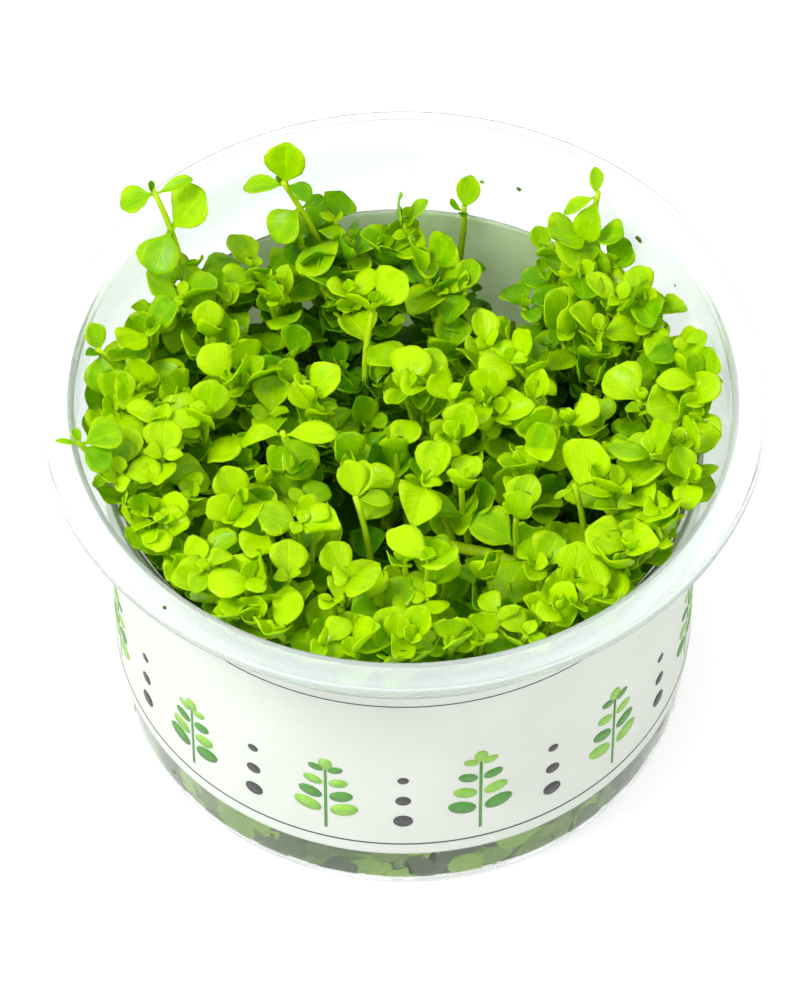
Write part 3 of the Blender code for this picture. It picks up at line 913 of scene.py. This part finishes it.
def makeSprigs():
    fill = planFill()
    total = 0
    for index, plan in enumerate(plans):
        chance = random.Random(growth["sprigSeed"] + index)
        bm = newGrowth()
        key = plan["name"].replace("sprig_", "")
        shift = Vector(tipShifts.get(key, (0, 0, 0))) / 1000
        growShoot(bm, plan["foot"], plan["tip"] + shift, plan["leaf"], plan["turn"], plan["rises"],
                  plan["pairs"], planting["pairSpacing"], chance, growth["tallLight"], shownLeaves.get(key))
        for foot, tip, leaf, bright in fill[plan["name"]]:
            rises = (chance.uniform(*growth["fillRise"]), chance.uniform(*growth["fillRise"]))
            growShoot(bm, foot, tip, leaf, chance.uniform(0, math.pi), rises,
                      growth["fillPairs"], growth["fillSpacing"], chance, bright)
        total += len(bm.faces)
        addPiece(plan["name"].replace("sprig", "plant"), bm, leafFinishes, "leaf_green", plan["name"])
    print("sprigs made,", total, "faces")


makeSprigs()


# Old stems and leaves under the sprigs
oldGrowth = {
    "foot": 0.0063, "top": 0.0300, "inset": 0.0020, "lump": 0.0008, "rounds": 40, "lumpTone": -0.05, "seed": 31,
    "stems": 90, "stemReach": 0.037, "stemFoot": 0.0285, "stemTop": (0.034, 0.042), "stemLean": (-0.005, 0.005),
    "stemBow": (-0.001, 0.001), "stemRadii": [0.0005, 0.00045, 0.0004], "stemTone": (0.0, 0.3),
    "leaves": 210, "leafReach": 0.0365, "leafHeight": (0.0305, 0.0400), "leaf": (0.0040, 0.0060),
    "leafTone": (-0.05, 0.25), "leafRise": (-0.3, 0.9),
}

# One thick stem that lies across the front: path in mm, radii in metres, and its leaves by point:
# turn and rise in degrees, length in mm, width, tone
lyingStem = {
    "path": [
        (-3.0, -8.5, 39.0), (2.3, -12.0, 43.0), (6.0, -14.0, 44.5), (11.5, -16.6, 46.0),
        (16.6, -19.4, 47.0), (16.9, -24.0, 46.0), (14.6, -28.0, 44.5), (12.0, -30.5, 42.0),
    ],
    "radii": [0.00060, 0.00070, 0.00080, 0.00085, 0.00095, 0.00085, 0.00075, 0.00065],
    "leaves": [
        (4, 10, 25, 7.4, 1.0, 0.50), (4, 70, 45, 6.8, 0.9, 0.50), (5, 200, -5, 6.6, 0.9, 0.42),
        (2, 95, 35, 5.6, 0.8, 0.42), (3, 250, 5, 5.0, 0.8, 0.40), (7, 190, 20, 5.6, 0.8, 0.40),
        (1, 80, 50, 5.8, 0.9, 0.40),
    ],
    "tone": 0.50, "sides": 10,
}

# Old leaves laid on the wall beside the gel. Crumbs: turn, height and size in mm, and tone
pressed = {
    "count": 400, "seed": 47, "first": 0.0018, "rowStep": 0.0024, "rows": 5, "stray": (-0.0009, 0.0009),
    "leaf": (0.0046, 0.0074), "depth": 0.00005, "layerStep": 0.00012, "layers": 3,
    "lowest": 0.0009, "tallest": 0.0060, "crumbDepth": 0.00025, "flangeSize": 0.0006,
    "crumbs": [(42.3, 57.0, 1.3, 0.25), (68.4, 54.0, 0.9, 0.3), (75.4, 53.6, 0.7, 0.9), (31.4, 55.0, 0.5, 0.3)],
    "flangeCrumb": (-32.0, -36.5, 61.25),
}


def makeOldGrowth():
    chance = random.Random(oldGrowth["seed"])
    bm = newGrowth()
    foot, top, inset = oldGrowth["foot"], oldGrowth["top"], oldGrowth["inset"]
    made = bmesh.ops.create_cone(bm, cap_ends=True, cap_tris=True, segments=oldGrowth["rounds"],
                                 radius1=wallRadius(foot) - inset, radius2=wallRadius(top) - inset,
                                 depth=top - foot)["verts"]
    bmesh.ops.translate(bm, verts=made, vec=(0, 0, (top + foot) / 2))
    bmesh.ops.subdivide_edges(bm, edges=bm.edges[:], cuts=3, use_grid_fill=True)
    for vert in bm.verts:
        if vert.co.z > foot + 0.0005:
            vert.co += Vector([chance.uniform(-1, 1) for _ in range(3)]) * oldGrowth["lump"]
    bmesh.ops.smooth_vert(bm, verts=bm.verts[:], factor=0.5, use_axis_x=True, use_axis_y=True, use_axis_z=True)
    toneLayer = bm.verts.layers.float["tone"]
    for vert in bm.verts:
        vert[toneLayer] = oldGrowth["lumpTone"]
    for _ in range(oldGrowth["stems"]):
        place = turned(chance.uniform(0, 2 * math.pi)) * oldGrowth["stemReach"] * math.sqrt(chance.random())
        lean = Vector((chance.uniform(*oldGrowth["stemLean"]), chance.uniform(*oldGrowth["stemLean"]), 0))
        low = place + upAxis * oldGrowth["stemFoot"]
        high = place + lean + upAxis * chance.uniform(*oldGrowth["stemTop"])
        bow = Vector((chance.uniform(*oldGrowth["stemBow"]), chance.uniform(*oldGrowth["stemBow"]), 0))
        path = [low, (low + high) / 2 + bow, high]
        addStem(bm, path, oldGrowth["stemRadii"], chance.uniform(*oldGrowth["stemTone"]))
    for _ in range(oldGrowth["leaves"]):
        place = turned(chance.uniform(0, 2 * math.pi)) * oldGrowth["leafReach"] * math.sqrt(chance.random())
        place.z = chance.uniform(*oldGrowth["leafHeight"])
        size = chance.uniform(*oldGrowth["leaf"])
        tone = chance.uniform(*oldGrowth["leafTone"])
        outward, rise = turned(chance.uniform(0, 2 * math.pi)), chance.uniform(*oldGrowth["leafRise"])
        addLeaf(bm, place, outward, rise, size, tone, leafForm(chance))
    path = [Vector(point) / 1000 for point in lyingStem["path"]]
    addStem(bm, path, lyingStem["radii"], lyingStem["tone"], lyingStem["sides"])
    for node, turn, rise, size, width, tone in lyingStem["leaves"]:
        form = leafForm(chance)
        form.update(width=width, bend=0.5, cup=0.2, twist=0.1)
        addLeaf(bm, path[node], turned(math.radians(turn)), math.radians(rise), size / 1000, tone, form)
    addPiece("old_growth", bm, leafFinishes, "deep_stems", "stem_mat")


def pressLeaf(bm, chance, around, height, size, depth, tone):
    # Lays one flat leaf on the inside of the wall and round its foot
    form = leafForm(chance, flat=True)
    form.update(cup=0.0, bend=0.02, crease=0.0, wave=0.0, twist=0.0)
    flat = leafPoints(Vector((-size / 2, 0, 0)), Vector((1, 0, 0)), 0.0, size, form)
    spinTurn = Matrix.Rotation(chance.uniform(0, 2 * math.pi), 3, "Z")
    toneLayer = bm.verts.layers.float["tone"]
    start = len(bm.verts)
    bm.from_mesh(leafSheet)
    for vert, point in zip(bm.verts[start:], flat):
        point = spinTurn @ point
        level = min(max(height + point.y, pressed["lowest"]), height + pressed["tallest"])
        low = max(cup["thickness"] + cup["baseRound"] - level, 0.0)
        radius = wallRadius(level) - cup["baseRound"] + math.sqrt(cup["baseRound"] ** 2 - low ** 2) - depth
        radius -= 0.5 * (leafShape["thickness"] - point.z)
        turn = around + point.x / radius
        vert.co = (radius * math.cos(turn), radius * math.sin(turn), level)
        vert[toneLayer] = tone


def makePressedLeaves():
    # With crumbs of leaf on the neck and one on the flange
    chance = random.Random(pressed["seed"])
    bm = newGrowth()
    for count in range(pressed["count"]):
        around = 2 * math.pi * (count + chance.uniform(-0.4, 0.4)) / pressed["count"]
        row, layer = count % pressed["rows"], count % pressed["layers"]
        height = pressed["first"] + pressed["rowStep"] * row + chance.uniform(*pressed["stray"])
        tone = chance.choice((chance.uniform(-0.1, 0.2), chance.uniform(0.3, 0.8)))
        size, depth = chance.uniform(*pressed["leaf"]), pressed["depth"] + pressed["layerStep"] * layer
        pressLeaf(bm, chance, around, height, size, depth, tone)
    for turn, height, size, tone in pressed["crumbs"]:
        pressLeaf(bm, chance, math.radians(turn), height / 1000, size / 1000, pressed["crumbDepth"], tone)
    form = leafForm(chance, flat=True)
    start = len(bm.verts)
    bm.from_mesh(leafSheet)
    place, outward = Vector(pressed["flangeCrumb"]) / 1000, Vector((0.8, -0.6, 0))
    for vert, point in zip(bm.verts[start:], leafPoints(place, outward, 0.0, pressed["flangeSize"], form)):
        vert.co = point
    bmesh.ops.recalc_face_normals(bm, faces=bm.faces[:])
    addPiece("pressed_leaves", bm, [oldGreen, stemGreen], "deep_stems")


makeOldGrowth()
makePressedLeaves()
print("old growth made")


# Floor, light and camera
studio = {
    "world": 1.06, "floor": 0.40, "floorGlow": 0.66, "floorHalf": 1.5, "bounces": 24, "diffuseBounces": 6,
    "lamps": {"key": ((-0.55, -0.25, 1.0), 12.0, 0.35), "fill": ((0.7, 0.5, 0.9), 1.2, 0.8)},
}
view = {
    "target": Vector((0, 0, 0.030)), "distance": 0.900, "elevation": 53.54, "lens": 230.785,
    "shiftX": -0.00409, "shiftY": 0.02571, "clipStart": 0.05, "clipEnd": 10,
}


def makeStudio():
    scene.view_settings.view_transform = "Standard"
    scene.cycles.max_bounces = scene.cycles.transmission_bounces = studio["bounces"]
    scene.cycles.diffuse_bounces = studio["diffuseBounces"]
    world = bpy.data.worlds.new("softRoom")
    scene.world = world
    world.use_nodes = True
    background = world.node_tree.nodes["Background"]
    background.inputs["Color"].default_value = (1, 1, 1, 1)
    background.inputs["Strength"].default_value = studio["world"]
    bm = bmesh.new()
    bmesh.ops.create_grid(bm, x_segments=2, y_segments=2, size=studio["floorHalf"])
    mesh = bpy.data.meshes.new("floor")
    bm.to_mesh(mesh)
    bm.free()
    paint, shader = newMaterial("paleFloor", Roughness=0.9, Emission_Strength=studio["floorGlow"])
    shader.inputs["Base Color"].default_value = (studio["floor"],) * 3 + (1,)
    shader.inputs["Emission Color"].default_value = (1, 1, 1, 1)
    mesh.materials.append(paint)
    floor = bpy.data.objects.new("floor", mesh)
    scene.collection.objects.link(floor)
    for name, (place, watts, size) in studio["lamps"].items():
        light = bpy.data.lights.new(name, "AREA")
        light.energy, light.size = watts, size
        lamp = bpy.data.objects.new(name, light)
        lamp.location = place
        lamp.rotation_euler = (view["target"] - lamp.location).to_track_quat("-Z", "Y").to_euler()
        scene.collection.objects.link(lamp)
    lens = bpy.data.cameras.new("camera")
    lens.lens, lens.shift_x, lens.shift_y = view["lens"], view["shiftX"], view["shiftY"]
    lens.clip_start, lens.clip_end = view["clipStart"], view["clipEnd"]
    camera = bpy.data.objects.new("camera", lens)
    raised = math.radians(view["elevation"])
    camera.location = view["target"] + Vector((0, -math.cos(raised), math.sin(raised))) * view["distance"]
    camera.rotation_euler = (math.pi / 2 - raised, 0, 0)
    scene.collection.objects.link(camera)
    scene.camera = camera


makeStudio()
print("studio ready")
